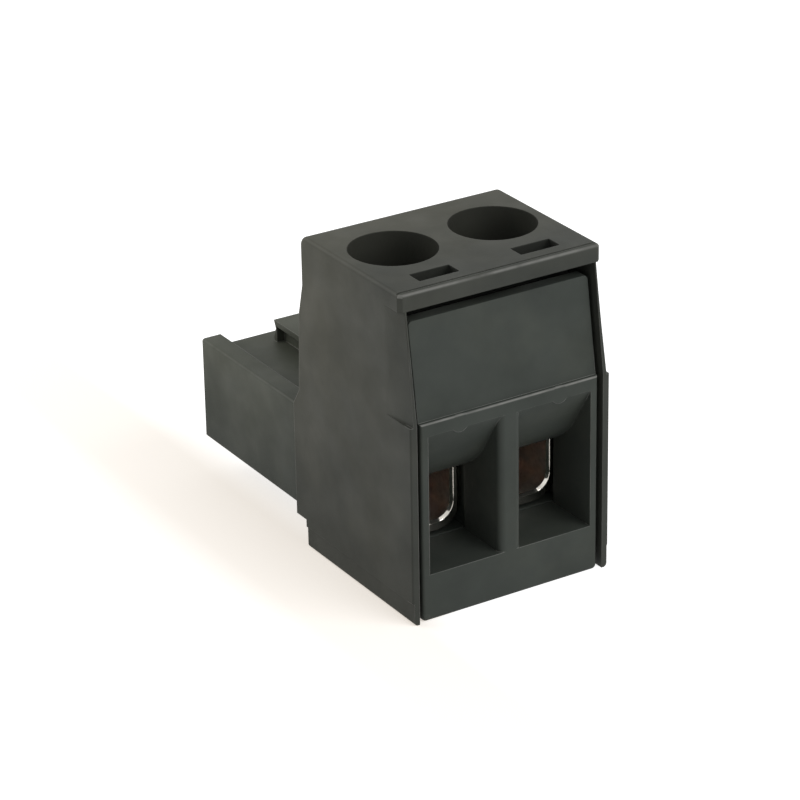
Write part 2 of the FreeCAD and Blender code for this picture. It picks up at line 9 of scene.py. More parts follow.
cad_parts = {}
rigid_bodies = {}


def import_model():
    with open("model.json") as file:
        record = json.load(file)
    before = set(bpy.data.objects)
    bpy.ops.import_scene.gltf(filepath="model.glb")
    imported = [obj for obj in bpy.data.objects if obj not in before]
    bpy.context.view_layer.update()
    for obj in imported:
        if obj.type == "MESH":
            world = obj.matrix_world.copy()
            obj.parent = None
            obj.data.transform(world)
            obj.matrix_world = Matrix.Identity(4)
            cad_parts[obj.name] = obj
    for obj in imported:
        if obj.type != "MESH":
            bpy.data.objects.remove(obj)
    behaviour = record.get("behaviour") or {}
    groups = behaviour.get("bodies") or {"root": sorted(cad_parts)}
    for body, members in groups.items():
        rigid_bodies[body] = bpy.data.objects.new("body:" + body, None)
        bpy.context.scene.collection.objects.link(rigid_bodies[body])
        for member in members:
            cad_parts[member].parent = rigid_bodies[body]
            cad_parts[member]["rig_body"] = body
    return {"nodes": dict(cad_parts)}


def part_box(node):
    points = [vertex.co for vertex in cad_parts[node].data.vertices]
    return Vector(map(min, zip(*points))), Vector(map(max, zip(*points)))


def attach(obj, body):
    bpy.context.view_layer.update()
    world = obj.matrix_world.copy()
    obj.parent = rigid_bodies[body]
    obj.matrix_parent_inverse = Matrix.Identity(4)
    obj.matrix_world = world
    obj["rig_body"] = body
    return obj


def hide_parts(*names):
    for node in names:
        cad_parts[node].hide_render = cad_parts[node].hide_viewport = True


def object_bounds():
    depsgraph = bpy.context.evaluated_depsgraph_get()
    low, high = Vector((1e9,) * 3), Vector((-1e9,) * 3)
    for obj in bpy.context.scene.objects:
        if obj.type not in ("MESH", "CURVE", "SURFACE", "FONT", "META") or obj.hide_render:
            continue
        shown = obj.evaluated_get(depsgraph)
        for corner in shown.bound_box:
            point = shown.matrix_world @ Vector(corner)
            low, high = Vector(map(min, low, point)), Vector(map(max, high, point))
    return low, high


# A two-pole plug-in terminal block: a black moulded shell over a contact carrier, with nickel-plated
# clamp sleeves, slotted clamp screws and copper contacts inside. Places and sizes are in metres.

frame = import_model()
CAD_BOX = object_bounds()
SHELL_LOW, SHELL_HIGH = (Vector(corner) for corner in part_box("outer_shell"))

bl_info = {
    "name": "Plug-in Terminal Block",
    "version": (1, 0, 0),
    "blender": (4, 5, 0),
    "location": "View3D > Sidebar > Terminal Block",
    "description": "Dresses the pieces of a two-pole plug-in terminal block and sets up its studio",
    "category": "Object",
}

MM = 0.001
SIDES = ("left", "right")
TINY = 0.001 * MM  # points nearer than this count as one
SLACK = 0.01 * MM  # added to a limit, so that points on it are surely within it
SMOOTH_ANGLE = math.radians(28)  # sharper edges stay sharp
FLAT_ANGLE = math.radians(0.5)  # faces that turn less than this become one

# the space inside the shell's walls that is seen only through the screw guides and the test slots
SIDE_WALL = 0.5 * MM
FRONT_PANEL = 1.45 * MM  # from the front of the shell to the rear of the leaning panel
REAR_WALL = 1.2 * MM
GUIDE_FLOOR = 10 * MM  # lowest place that is seen through the screw guides
RECESS_LOW = SHELL_LOW + Vector((SIDE_WALL, FRONT_PANEL, GUIDE_FLOOR))
RECESS_HIGH = SHELL_HIGH - Vector((SIDE_WALL, REAR_WALL, 2 * SLACK))

# the rounded upper edge of the carrier's front frame, over the nub in the middle of each window
POLE = 2.54 * MM  # from the middle of the plug to the middle of a window
NUB_REACH = 0.36 * MM  # from the middle of a nub to the last of its points
NUB_MERGE = 0.006 * MM  # points nearer than this are merged where a nub was trimmed
FRAME_TOP = 9.35 * MM
FRAME_ROUND = 0.14 * MM
LEDGE_DEPTH = 0.2 * MM  # from the front of the frame to the foot of the leaning panel
ROUND_CUTS = (0, 0.33, 0.6, 0.84, 1)  # heights where the rounding is divided, as parts of its radius

# the thread's ridge
THREAD_STEPS = 32  # straight steps in one turn
THREAD_START = 0.45 * MM  # from the tip of the screw
THREAD_SINK = 0.03 * MM  # how far the ridge's foot goes into the shaft
THREAD_FOOT = 0.42  # half the width at the foot, as a part of the pitch
THREAD_CREST = 0.07  # half the width at the crest, as a part of the pitch
RUN_OUT_STEPS = 12  # steps over which the ridge grows to its full height
RUN_OUT_START = 0.05  # height of the ridge at its ends, as a part of the full one

# noise, in cells for each metre, and the limits between which it is stretched
CLOUD_SCALE = 420.0
CLOUD_LIMITS = (0.3, 0.7)
STAIN_SCALE = 260.0
STAIN_LIMITS = (0.3, 0.7)
PATCH_SCALE = 900.0
PATCH_LIMITS = (0.2, 0.55)
SPOT_SCALE = 1500.0
SPOT_LIMITS = (0.4, 0.6)
DENT_SCALE = 6000.0

# tints of the moulded colour, in its darker and lighter clouds; the warm tints are also two to three times
# lighter, a painted light
COOL_TINTS = ((0.9, 0.95, 0.9), (1.08, 1.14, 1.08))
WARM_LIT_TINTS = ((2.6, 2.45, 2.0), (3.2, 3.0, 2.5))
STAIN_REACH = 0.12  # how much a stain adds to the warmth or takes from it
PAINTED_LIGHT_HEIGHTS = (2 * MM, 10 * MM)  # painted light: the plastic turns warmer and lighter between them, and is darker towards the bottom
ROUGHNESS_SWING = 0.06  # how much the clouds change the roughness of the plastic
POLISH_SHINE = 0.25  # how much smoother the polished plastic is

# edge wear and painted highlight
BEVEL_SAMPLES = 8
SHARP_GAIN = 4.0  # full wear where the rounded normal has turned by about 41 degrees
FRONT_REACH = (0.5 * MM, 0.4 * MM)  # the wear and painted highlight start and are full at these distances from the front
NOSE_START = (-0.5 * MM, 0)  # they start again and are full at these places along the nose
ROUNDED_PARTS = (0.97, 0.8)  # largest part of the normal at which rounded edges start and are full
RISING_PARTS = (0.1, 0.3)  # its Z where the edges that face up start and are full
FORWARD_PARTS = (-0.1, -0.4)  # its Y where the edges that face the front start and are full
LEAST_FRONT_HIGHLIGHT = 0.2  # wear and painted highlight of the rounded edges that don't face the front
LEAST_PATCH = 0.25  # wear and painted highlight that are left in the patches that were touched least
SHELL_POLISH_AND_HIGHLIGHT = 0.6
CARRIER_POLISH_AND_HIGHLIGHT = 0.8

# metals
SLEEVE_DULL = (0.8, 0.8, 0.8)  # tints of the plating where it has gone dull
SCREW_DULL = (0.75, 0.75, 0.72)
FRONT_FACING = -0.3  # faces whose normal has a smaller Y face the front

# studio
LIT_POINT = (0, 0, 7 * MM)
KEY_PLACE = (0.08, -0.165, 0.125)
KEY_SIZE = 0.16
FILL_PLACE = (-0.042, 0.03, 0.045)
FILL_SIZE = 0.035
FILL_COLOUR = (1, 0.97, 0.9)
TABLE_SIZE = 3
TABLE_LIT = (0.62, 0.62, 0.62)  # the table's colour for the light that it throws on the plug
TABLE_SEEN = (0.68, 0.68, 0.68)
TABLE_SHADE = (1.0, 0.91, 0.81)  # painted shade: colour of the glow that is added to the seen table where it is dim, which tints the plug's shadow warm
TABLE_WHITE = (1, 1, 1)
TABLE_GLOW = (0.53, 0.8)  # strength of that glow where the table is dim and where it is bright
RIGHT_GLOW = (-5 * MM, -2.5 * MM)  # places along X between which the painted glow of the seen table turns bright
LEFT_GLOW = (-8.5 * MM, -13 * MM)
SENSOR_WIDTH = 36  # in millimetres, as the lens is


class PlugFinish(bpy.types.PropertyGroup):
    """Colours and surface sizes of the plug's materials."""

    shell_colour: FloatVectorProperty(
        name="Shell Colour", description="Moulded colour of the outer shell", subtype="COLOR",
        size=3, min=0, max=1, default=(0.032, 0.0331, 0.0294))
    carrier_colour: FloatVectorProperty(
        name="Carrier Colour", description="Moulded colour of the contact carrier", subtype="COLOR",
        size=3, min=0, max=1, default=(0.033, 0.0368, 0.0332))
    # painted shade: a darker plastic colour for the inside of the screw guides and test slots, standing in
    # for their shade
    recess_shade_colour: FloatVectorProperty(
        name="Recess Shade Colour", description="Darker plastic inside the screw guides and test slots",
        subtype="COLOR", size=3, min=0, max=1, default=(0.014, 0.0148, 0.0133))
    nickel_colour: FloatVectorProperty(
        name="Nickel Colour", description="Plating of the clamp sleeves", subtype="COLOR",
        size=3, min=0, max=1, default=(0.72, 0.69, 0.63))
    steel_colour: FloatVectorProperty(
        name="Steel Colour", description="Plating of the clamp screws", subtype="COLOR",
        size=3, min=0, max=1, default=(0.55, 0.55, 0.53))
    copper_colour: FloatVectorProperty(
        name="Copper Colour", description="Bare metal of the contacts", subtype="COLOR",
        size=3, min=0, max=1, default=(0.36, 0.13, 0.08))
    tin_colour: FloatVectorProperty(
        name="Tin Colour", description="Dull tin that covers parts of the contacts", subtype="COLOR",
        size=3, min=0, max=1, default=(0.2, 0.18, 0.14))
    # painted highlight: the pale polish colour along the edges is partly wear and partly stands in for light
    # that the edges catch
    polish_and_highlight_colour: FloatVectorProperty(
        name="Polish And Highlight Colour", description="Plastic that handling has polished pale along the edges",
        subtype="COLOR", size=3, min=0, max=1, default=(0.22, 0.22, 0.205))
    plastic_roughness: FloatProperty(
        name="Plastic Roughness", description="How matt the moulded plastic is", subtype="FACTOR",
        min=0, max=1, default=0.6)
    plastic_shine: FloatProperty(
        name="Plastic Shine", description="How much the moulded plastic mirrors its surroundings",
        subtype="FACTOR", min=0, max=1, default=0.25)
    grain_size: FloatProperty(
        name="Grain Size", description="Width of one grain of the mould's fine texture", subtype="DISTANCE",
        unit="LENGTH", min=0.00001, max=0.001, default=0.00007)
    grain_depth: FloatProperty(
        name="Grain Depth", description="Height of the mould's fine texture", subtype="DISTANCE",
        unit="LENGTH", min=0, max=0.0001, default=0.000004)
    edge_round: FloatProperty(
        name="Edge Round", description="Radius that catches the light along the plastic's sharp edges",
        subtype="DISTANCE", unit="LENGTH", min=0, max=0.001, default=0.00006)


class PlugThread(bpy.types.PropertyGroup):
    """Sizes of the clamp screws' thread."""

    crest_radius: FloatProperty(
        name="Crest Radius", description="Radius over the crests of the thread", subtype="DISTANCE",
        unit="LENGTH", min=0.0002, default=1.44 * MM)
    depth: FloatProperty(
        name="Depth", description="From the crests to the root of the thread", subtype="DISTANCE",
        unit="LENGTH", min=0.00001, default=0.26 * MM)
    pitch: FloatProperty(
        name="Pitch", description="Rise of the thread in one turn", subtype="DISTANCE", unit="LENGTH",
        min=0.0001, default=0.5 * MM)
    head_height: FloatProperty(
        name="Head Height", description="Height of the screw's head", subtype="DISTANCE", unit="LENGTH",
        min=0.0001, default=1.8 * MM)


class PlugCamera(bpy.types.PropertyGroup):
    """The angle and lens that the plug is looked at with."""

    azimuth: FloatProperty(
        name="Azimuth", description="Angle of the camera about the vertical, from straight in front",
        subtype="ANGLE", unit="ROTATION", default=-0.55179)
    elevation: FloatProperty(
        name="Elevation", description="Angle of the camera above the table", subtype="ANGLE",
        unit="ROTATION", default=0.43442)
    roll: FloatProperty(
        name="Roll", description="Tilt of the camera about its line of sight", subtype="ANGLE",
        unit="ROTATION", default=-0.01769)
    distance: FloatProperty(
        name="Distance", description="From the camera to the point that it looks at", subtype="DISTANCE",
        unit="LENGTH", min=0.01, default=0.155877)
    target: FloatVectorProperty(
        name="Target", description="Point that the camera looks at", subtype="TRANSLATION",
        unit="LENGTH", size=3, default=(0, -0.000187, 0.005924))
    lens: FloatProperty(
        name="Focal Length", description="Focal length on a sensor 36 mm wide", subtype="DISTANCE_CAMERA",
        unit="CAMERA", min=1, default=156.537)


class PlugStudio(bpy.types.PropertyGroup):
    """Strengths of the studio's lights."""

    ambient: FloatProperty(
        name="Ambient", description="Strength of the light from all round", min=0, max=4, default=0.5)
    key_power: FloatProperty(
        name="Key Power", description="Power of the softbox at the front right", subtype="POWER",
        unit="POWER", min=0, default=0.25)
    fill_power: FloatProperty(
        name="Fill Power", description="Power of the small near lamp at the upper left", subtype="POWER",
        unit="POWER", min=0, default=0.011)


def only(piece):
    """Makes one object the active and the only selected one."""
    bpy.ops.object.select_all(action="DESELECT")
    piece.select_set(True)
    bpy.context.view_layer.objects.active = piece


def add(tree, kind, **values):
    """A shader node, with its attributes set by name."""
    node = tree.nodes.new(kind)
    for name, value in values.items():
        setattr(node, name, value)
    return node


def feed(tree, value, socket):
    """Links a socket to another one, or sets it to a plain value."""
    if isinstance(value, bpy.types.NodeSocket):
        tree.links.new(value, socket)
    else:
        socket.default_value = value


def math_node(tree, operation, first, second, clamp=False):
    """The output of a Math node of two values or sockets."""
    node = add(tree, "ShaderNodeMath", operation=operation, use_clamp=clamp)
    feed(tree, first, node.inputs[0])
    feed(tree, second, node.inputs[1])
    return node.outputs[0]


def spread(tree, socket, low, high, start=0.0, end=1.0):
    """The output of a Map Range node that stretches low..high to start..end."""
    node = add(tree, "ShaderNodeMapRange")
    for name, value in (("From Min", low), ("From Max", high), ("To Min", start), ("To Max", end)):
        node.inputs[name].default_value = value
    tree.links.new(socket, node.inputs["Value"])
    return node.outputs["Result"]


def mixed(tree, factor, first, second):
    """The output of a colour Mix node between two colours or sockets."""
    node = add(tree, "ShaderNodeMix", data_type="RGBA")
    for name, value in (("A", first), ("B", second)):
        socket = next(one for one in node.inputs if one.name == name and one.type == "RGBA")
        feed(tree, value if isinstance(value, bpy.types.NodeSocket) else (*value, 1), socket)
    tree.links.new(factor, node.inputs["Factor"])
    return next(one for one in node.outputs if one.type == "RGBA")


def parts_of(tree, vector):
    """The X, Y and Z outputs of a vector socket."""
    node = add(tree, "ShaderNodeSeparateXYZ")
    tree.links.new(vector, node.inputs[0])
    return node.outputs


def object_place(tree):
    """The object coordinates of a surface."""
    return add(tree, "ShaderNodeTexCoord").outputs["Object"]


def noise(tree, scale, detail, rough):
    """The values of a Noise Texture on object coordinates, whose scale is a number or a socket."""
    node = add(tree, "ShaderNodeTexNoise")
    tree.links.new(object_place(tree), node.inputs["Vector"])
    feed(tree, scale, node.inputs["Scale"])
    node.inputs["Detail"].default_value = detail
    node.inputs["Roughness"].default_value = rough
    return node.outputs["Fac"]


def new_group(name, inputs, outputs):
    """An empty shader node group with float inputs and their defaults, and float outputs."""
    group = bpy.data.node_groups.new(name, "ShaderNodeTree")
    for socket, default in inputs.items():
        made = group.interface.new_socket(socket, in_out="INPUT", socket_type="NodeSocketFloat")
        made.default_value = default
    for socket in outputs:
        group.interface.new_socket(socket, in_out="OUTPUT", socket_type="NodeSocketFloat")
    return group, group.nodes.new("NodeGroupInput"), group.nodes.new("NodeGroupOutput")


def mould_grain_and_painted_light_group():
    """Fine spark-eroded grain, soft clouds, and a painted light that turns the plastic warmer and lighter
    towards the nose and the top.
    """
    group, start, end = new_group(
        "Mould Grain And Painted Light", {"Grain Size": 0.0001, "Grain Depth": 0.00001}, ("Height", "Cloud", "Warmth And Painted Light"))
    cells = math_node(group, "DIVIDE", 1.0, start.outputs["Grain Size"])
    fine = noise(group, cells, detail=3.0, rough=0.6)
    centred = math_node(group, "SUBTRACT", fine, 0.5)
    height = math_node(group, "MULTIPLY", centred, start.outputs["Grain Depth"])
    group.links.new(height, end.inputs["Height"])

    cloud = noise(group, CLOUD_SCALE, detail=3.0, rough=0.55)
    group.links.new(spread(group, cloud, *CLOUD_LIMITS), end.inputs["Cloud"])

    # painted light: the plastic turns warmer and lighter towards the nose and the top; random stains add to
    # it or take from it
    place = parts_of(group, object_place(group))
    along = spread(group, place["Y"], CAD_BOX[0][1], CAD_BOX[1][1])
    raised = spread(group, place["Z"], *PAINTED_LIGHT_HEIGHTS)
    painted_light = math_node(group, "MULTIPLY", along, raised)
    stain = noise(group, STAIN_SCALE, detail=3.0, rough=0.6)
    stained = spread(group, stain, *STAIN_LIMITS, -STAIN_REACH, STAIN_REACH)
    group.links.new(math_node(group, "ADD", painted_light, stained, clamp=True), end.inputs["Warmth And Painted Light"])
    return group


def edge_polish_and_highlight_group():
    """How much the plastic along an edge is polished pale: partly wear, and partly a painted highlight, most
    of all on the upper edges that face the front.
    """
    group, start, end = new_group("Edge Polish And Highlight", {"Radius": 0.0001, "Amount": 1.0}, ("Polish And Highlight",))
    surface = add(group, "ShaderNodeNewGeometry").outputs["Normal"]

    # sharp edges, where the rounded normal turns away, at the front and along the nose: wear with a painted
    # highlight
    bevel = add(group, "ShaderNodeBevel", samples=BEVEL_SAMPLES)
    group.links.new(start.outputs["Radius"], bevel.inputs["Radius"])
    dot = add(group, "ShaderNodeVectorMath", operation="DOT_PRODUCT")
    group.links.new(bevel.outputs["Normal"], dot.inputs[0])
    group.links.new(surface, dot.inputs[1])
    turned = math_node(group, "SUBTRACT", 1.0, dot.outputs["Value"])
    sharp = math_node(group, "MULTIPLY", turned, SHARP_GAIN, clamp=True)
    along = parts_of(group, object_place(group))["Y"]
    front = spread(group, along, *(CAD_BOX[0][1] + reach for reach in FRONT_REACH))
    reached = math_node(group, "MAXIMUM", front, spread(group, along, *NOSE_START))
    sharp = math_node(group, "MULTIPLY", sharp, reached)

    # rounded upper edges, where no part of the normal is near 1, most of all those that face the front: a
    # painted highlight where light catches them, and wear
    size = add(group, "ShaderNodeVectorMath", operation="ABSOLUTE")
    group.links.new(surface, size.inputs[0])
    sizes = parts_of(group, size.outputs["Vector"])
    most = math_node(group, "MAXIMUM", sizes["X"], sizes["Y"])
    most = math_node(group, "MAXIMUM", most, sizes["Z"])
    facing = parts_of(group, surface)
    rounded = math_node(group, "MULTIPLY", spread(group, most, *ROUNDED_PARTS),
                        spread(group, facing["Z"], *RISING_PARTS))
    front_highlight = spread(group, facing["Y"], *FORWARD_PARTS, LEAST_FRONT_HIGHLIGHT, 1.0)
    rounded = math_node(group, "MULTIPLY", rounded, front_highlight)

    patches = noise(group, PATCH_SCALE, detail=2.0, rough=0.6)
    broken = spread(group, patches, *PATCH_LIMITS, LEAST_PATCH, 1.0)
    polish_and_highlight = math_node(group, "MULTIPLY", math_node(group, "MAXIMUM", sharp, rounded), broken)
    group.links.new(math_node(group, "MULTIPLY", polish_and_highlight, start.outputs["Amount"]), end.inputs["Polish And Highlight"])
    return group


GROUP_MAKERS = {"Mould Grain And Painted Light": mould_grain_and_painted_light_group, "Edge Polish And Highlight": edge_polish_and_highlight_group}


def place_group(tree, name, values):
    """A node group placed in a material, with its inputs set. It is built when it is first placed."""
    group = bpy.data.node_groups.get(name) or GROUP_MAKERS[name]()
    node = add(tree, "ShaderNodeGroup", node_tree=group)
    for socket, value in values.items():
        node.inputs[socket].default_value = value
    return node.outputs


def new_material(name):
    """A node material with a Principled shader, and its tree and shader."""
    material = bpy.data.materials.new(name)
    material.use_nodes = True
    return material, material.node_tree, material.node_tree.nodes["Principled BSDF"]


def rough_surface(tree, shader, edge, distance, height):
    """Gives a shader the normal of softened edges with a bump on it."""
    soft = add(tree, "ShaderNodeBevel", samples=BEVEL_SAMPLES)
    soft.inputs["Radius"].default_value = edge
    bump = add(tree, "ShaderNodeBump")
    bump.inputs["Distance"].default_value = distance
    tree.links.new(height, bump.inputs["Height"])
    tree.links.new(soft.outputs["Normal"], bump.inputs["Normal"])
    tree.links.new(bump.outputs["Normal"], shader.inputs["Normal"])


def tinted(colour, tint):
    """A colour times a tint."""
    return tuple(first * second for first, second in zip(colour, tint))


def plastic(name, colour, finish, polish_and_highlight_amount):
    """Black moulded plastic: fine grain, cloudy tone, painted light that turns it warmer and lighter towards
    the nose and the top, and a pale polish with a painted highlight along its edges.
    """
    material, tree, shader = new_material(name)
    shader.inputs["Specular IOR Level"].default_value = finish.plastic_shine
    grain = place_group(tree, "Mould Grain And Painted Light",
                        {"Grain Size": finish.grain_size, "Grain Depth": finish.grain_depth})
    polish_and_highlight = place_group(tree, "Edge Polish And Highlight", {"Radius": finish.edge_round, "Amount": polish_and_highlight_amount})["Polish And Highlight"]

    cool = mixed(tree, grain["Cloud"], *(tinted(colour, tint) for tint in COOL_TINTS))
    warm_and_lit = mixed(tree, grain["Cloud"], *(tinted(colour, tint) for tint in WARM_LIT_TINTS))
    # painted light: warmer and lighter towards the nose and the top
    toned = mixed(tree, grain["Warmth And Painted Light"], cool, warm_and_lit)
    # painted highlight: edges are mixed towards the pale polish colour, partly wear and partly light that
    # they catch
    tree.links.new(mixed(tree, polish_and_highlight, toned, finish.polish_and_highlight_colour), shader.inputs["Base Color"])

    matt = spread(tree, grain["Cloud"], 0, 1, finish.plastic_roughness + ROUGHNESS_SWING,
                  finish.plastic_roughness - ROUGHNESS_SWING)
    polished = math_node(tree, "MULTIPLY", polish_and_highlight, POLISH_SHINE)
    tree.links.new(math_node(tree, "SUBTRACT", matt, polished), shader.inputs["Roughness"])
    rough_surface(tree, shader, finish.edge_round, 1.0, grain["Height"])
    return material


def metal(name, colour, worn_colour, roughness, dents, edge):
    """Metal whose colour and polish change in patches, with fine dents and softened edges."""
    material, tree, shader = new_material(name)
    shader.inputs["Metallic"].default_value = 1.0
    patches = spread(tree, noise(tree, SPOT_SCALE, detail=3.0, rough=0.6), *SPOT_LIMITS)
    tree.links.new(mixed(tree, patches, worn_colour, colour), shader.inputs["Base Color"])
    tree.links.new(spread(tree, patches, 0, 1, roughness * 1.2, roughness * 0.8), shader.inputs["Roughness"])
    rough_surface(tree, shader, edge, dents, noise(tree, DENT_SCALE, detail=2.0, rough=0.5))
    return material


def shade(piece):
    """Smooth shading between sharp edges, in which the large flat faces stay flat."""
    bpy.ops.object.shade_smooth_by_angle(angle=SMOOTH_ANGLE)
    flat = piece.modifiers.new("Flat Faces", "WEIGHTED_NORMAL")
    flat.keep_sharp = True
    bpy.ops.object.modifier_apply(modifier="Flat Faces")


def dressed(node, material):
    """A merged, smoothly shaded copy of a CAD node, which stands in for it with its own material."""
    source = frame["nodes"][node]
    piece = bpy.data.objects.new(f"{node}_dressed", source.data.copy())
    bpy.context.scene.collection.objects.link(piece)
    only(piece)
    bpy.ops.object.mode_set(mode="EDIT")
    bpy.ops.mesh.select_all(action="SELECT")
    bpy.ops.mesh.remove_doubles(threshold=TINY)
    bpy.ops.mesh.dissolve_limited(angle_limit=FLAT_ANGLE)
    bpy.ops.mesh.select_all(action="DESELECT")
    bpy.ops.object.mode_set(mode="OBJECT")
    if piece.data.has_custom_normals:
        bpy.ops.mesh.customdata_custom_splitnormals_clear()
    shade(piece)
    piece.data.materials.clear()
    piece.data.materials.append(material)
    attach(piece, source["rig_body"])
    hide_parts(node)
    return piece


def coat_faces(piece, material, chosen):
    """Gives the chosen faces a material of their own."""
    slot = len(piece.data.materials)
    piece.data.materials.append(material)
    for face in piece.data.polygons:
        if chosen(face):
            face.material_index = slot


def in_recess(face):
    """Whether a face is seen only through the holes of the top plate."""
    return all(low < number < high for low, number, high in zip(RECESS_LOW, face.center, RECESS_HIGH))


def trim_nubs(carrier):
    """Takes the nubs' tips back to the rounded upper edge of the frame, which they stand out of."""
    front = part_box("contact_carrier")[0][1]
    low = FRAME_TOP - FRAME_ROUND
    only(carrier)
    bpy.ops.object.mode_set(mode="EDIT")
    for part in ROUND_CUTS:
        bpy.ops.mesh.select_all(action="DESELECT")
        mesh = bmesh.from_edit_mesh(carrier.data)
        for face in mesh.faces:
            flat = all(abs(corner.co.y - front) < TINY for corner in face.verts)
            if flat and max(corner.co.z for corner in face.verts) > low + TINY:
                face.select_set(True)
        bmesh.update_edit_mesh(carrier.data)
        bpy.ops.mesh.bisect(plane_co=(0, 0, low + part * FRAME_ROUND), plane_no=(0, 0, 1), threshold=TINY)
    bpy.ops.mesh.select_all(action="DESELECT")
    mesh = bmesh.from_edit_mesh(carrier.data)
    for corner in mesh.verts:
        beside = abs(abs(corner.co.x) - POLE) < NUB_REACH
        near = beside and corner.co.y < front + LEDGE_DEPTH + SLACK and corner.co.z > low - TINY
        if near:
            if corner.co.z > FRAME_TOP:
                corner.co.z = FRAME_TOP
                corner.co.y = min(corner.co.y, front + LEDGE_DEPTH)
            rise = min(corner.co.z - low, FRAME_ROUND)
            round_depth = FRAME_ROUND - math.sqrt(FRAME_ROUND ** 2 - rise ** 2)
            corner.co.y = max(corner.co.y, front + round_depth)
        corner.select_set(near)
    mesh.select_flush_mode()
    bmesh.update_edit_mesh(carrier.data)
    bpy.ops.mesh.remove_doubles(threshold=NUB_MERGE)
    bpy.ops.mesh.dissolve_degenerate(threshold=TINY)
    bpy.ops.mesh.select_all(action="DESELECT")
    bpy.ops.object.mode_set(mode="OBJECT")
    bpy.ops.mesh.customdata_custom_splitnormals_clear()
    shade(carrier)


class PLUG_OT_housing(bpy.types.Operator):
    """Dress the outer shell and the contact carrier in moulded plastic"""

    bl_idname = "plug.housing"
    bl_label = "Housing"

    def execute(self, context):
        finish = context.scene.plug_finish
        shell = dressed("outer_shell",
                        plastic("Cover Plastic", finish.shell_colour, finish, SHELL_POLISH_AND_HIGHLIGHT))
        carrier = dressed("contact_carrier",
                          plastic("Carrier Plastic", finish.carrier_colour, finish, CARRIER_POLISH_AND_HIGHLIGHT))
        trim_nubs(carrier)
        # painted shade: the screw guides and the test slots get a darker plastic colour, which stands in for
        # the shade inside them
        recess = plastic("Recess Painted Shade", finish.recess_shade_colour, finish, 0)
        coat_faces(shell, recess, in_recess)
        coat_faces(carrier, recess, in_recess)
        return {"FINISHED"}


class PLUG_OT_sleeves(bpy.types.Operator):
    """Dress the clamp sleeves in bright nickel"""

    bl_idname = "plug.sleeves"
    bl_label = "Clamp Sleeves"

    def execute(self, context):
        colour = context.scene.plug_finish.nickel_colour
        dull = tinted(colour, SLEEVE_DULL)
        nickel = metal("Nickel Plating", colour, dull, roughness=0.4, dents=0.002 * MM, edge=0.02 * MM)
        bright = metal("Bright Nickel Edge", colour, dull, roughness=0.06, dents=0.0002 * MM, edge=0.05 * MM)
        for side in SIDES:
            sleeve = dressed(f"clamp_sleeve_{side}", nickel)
            coat_faces(sleeve, bright, lambda face: face.normal.y < FRONT_FACING)
        return {"FINISHED"}


def wound_ridge(thread, axis, bottom, top):
    """The thread's ridge: a closed profile wound up the screw, which runs out at both ends."""
    bpy.ops.object.select_all(action="DESELECT")
    bpy.ops.mesh.primitive_plane_add(size=thread.pitch, location=(*axis, bottom))
    ridge = bpy.context.object
    crest = thread.crest_radius
    sunk = crest - thread.depth - THREAD_SINK
    profile = ((sunk, -THREAD_FOOT), (crest, -THREAD_CREST), (sunk, THREAD_FOOT), (crest, THREAD_CREST))
    for corner, (radius, part) in zip(ridge.data.vertices, profile):
        corner.co = (radius, 0, part * thread.pitch)
    wind = ridge.modifiers.new("Wind", "SCREW")
    wind.screw_offset = thread.pitch
    wind.iterations = round((top - bottom) / thread.pitch)
    wind.steps = THREAD_STEPS
    wind.render_steps = THREAD_STEPS
    bpy.ops.object.modifier_apply(modifier="Wind")
    corners = ridge.data.vertices
    last = len(corners) // len(profile) - 1
    for index, corner in enumerate(corners):
        step = index // len(profile)
        height = min(1, RUN_OUT_START + min(step, last - step) / RUN_OUT_STEPS)
        out = Vector((corner.co.x, corner.co.y, 0))
        corner.co += out.normalized() * (height - 1) * (out.length - sunk)
    bpy.ops.object.mode_set(mode="EDIT")
    bpy.ops.mesh.select_all(action="DESELECT")
    bpy.ops.mesh.select_non_manifold()
    bpy.ops.mesh.fill_holes(sides=len(profile))
    bpy.ops.mesh.select_all(action="SELECT")
    bpy.ops.mesh.normals_make_consistent(inside=False)
    bpy.ops.object.mode_set(mode="OBJECT")
    bpy.ops.object.transform_apply(location=True)
    return ridge


def cut_thread(screw, node, thread):
    """Narrows the plain shaft to the thread's root and joins the ridge to it."""
    low, high = (Vector(corner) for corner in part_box(node))
    axis = ((low + high) / 2)[:2]
    neck = high.z - thread.head_height
    only(screw)
    bpy.ops.object.mode_set(mode="EDIT")
    bpy.ops.mesh.select_all(action="DESELECT")
    mesh = bmesh.from_edit_mesh(screw.data)
    for corner in mesh.verts:
        out = Vector(corner.co[:2]) - Vector(axis)
        corner.select_set(corner.co.z < neck + SLACK and out.length < thread.crest_radius + SLACK)
    mesh.select_flush_mode()
    bmesh.update_edit_mesh(screw.data)
    narrow = 1 - thread.depth / thread.crest_radius
    bpy.ops.transform.resize(value=(narrow, narrow, 1), center_override=(*axis, low.z))
    bpy.ops.object.mode_set(mode="OBJECT")
    ridge = wound_ridge(thread, axis, low.z + THREAD_START, neck)
    only(screw)
    union = screw.modifiers.new("Thread", "BOOLEAN")
    union.operation = "UNION"
    union.solver = "EXACT"
    union.object = ridge
    bpy.ops.object.modifier_apply(modifier="Thread")
    bpy.data.objects.remove(ridge)
    shade(screw)


class PLUG_OT_screws(bpy.types.Operator):
    """Dress the clamp screws in plated steel and cut their threads"""

    bl_idname = "plug.screws"
    bl_label = "Clamp Screws"

    def execute(self, context):
        colour = context.scene.plug_finish.steel_colour
        steel = metal("Steel Plating", colour, tinted(colour, SCREW_DULL),
                      roughness=0.35, dents=0.003 * MM, edge=0.04 * MM)
        for side in SIDES:
            node = f"clamp_screw_{side}"
            cut_thread(dressed(node, steel), node, context.scene.plug_thread)
        return {"FINISHED"}


